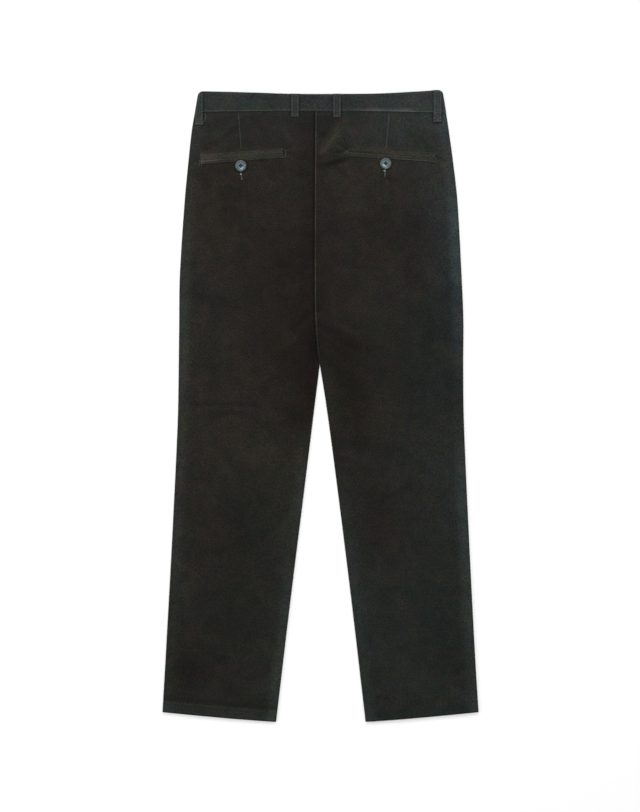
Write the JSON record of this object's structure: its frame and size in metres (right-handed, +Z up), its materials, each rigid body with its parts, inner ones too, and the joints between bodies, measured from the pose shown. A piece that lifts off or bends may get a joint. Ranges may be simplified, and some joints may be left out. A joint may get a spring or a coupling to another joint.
{
  "type": "velvet trousers",
  "caption": "Straight-leg velvet trousers laid flat with the back up, with belt loops, darts and two buttoned welt pockets.",
  "frame": {"origin": "middle of the outline, on the surface that the trousers lie on", "axes": "+Y from the hems to the waist, +Z up, away from the surface, towards the back of the trousers; the wearer's left leg is at -X"},
  "size_m": [0.5376, 1.0734, 0.0104],
  "materials": {
    "velvet": "cotton velvet, very dark brown-green, deep matt pile with a soft sheen at the edges",
    "pressed_velvet": "the same velvet, pressed and stitched, a little lighter and greener",
    "button": "polished blue-grey imitation horn",
    "zip_tape": "black woven tape",
    "thread": "polyester sewing thread, dark green-grey with a dull shine"
  },
  "bodies": {
    "root": {"front_left": "velvet", "front_right": "velvet", "back_left": "velvet", "back_right": "velvet", "waistband_back": "pressed_velvet", "waistband_front_left": "pressed_velvet", "waistband_front_right": "pressed_velvet", "loop_side_left": "pressed_velvet", "loop_centre_left": "pressed_velvet", "loop_centre_right": "pressed_velvet", "loop_side_right": "pressed_velvet", "pocket_left_lower_welt": "pressed_velvet", "pocket_left_upper_welt": "pressed_velvet", "pocket_right_lower_welt": "pressed_velvet", "pocket_right_upper_welt": "pressed_velvet", "button_left": "button", "button_right": "button", "fly_zip": "zip_tape", "fly_shield": "velvet"}
  },
  "joints": []
}
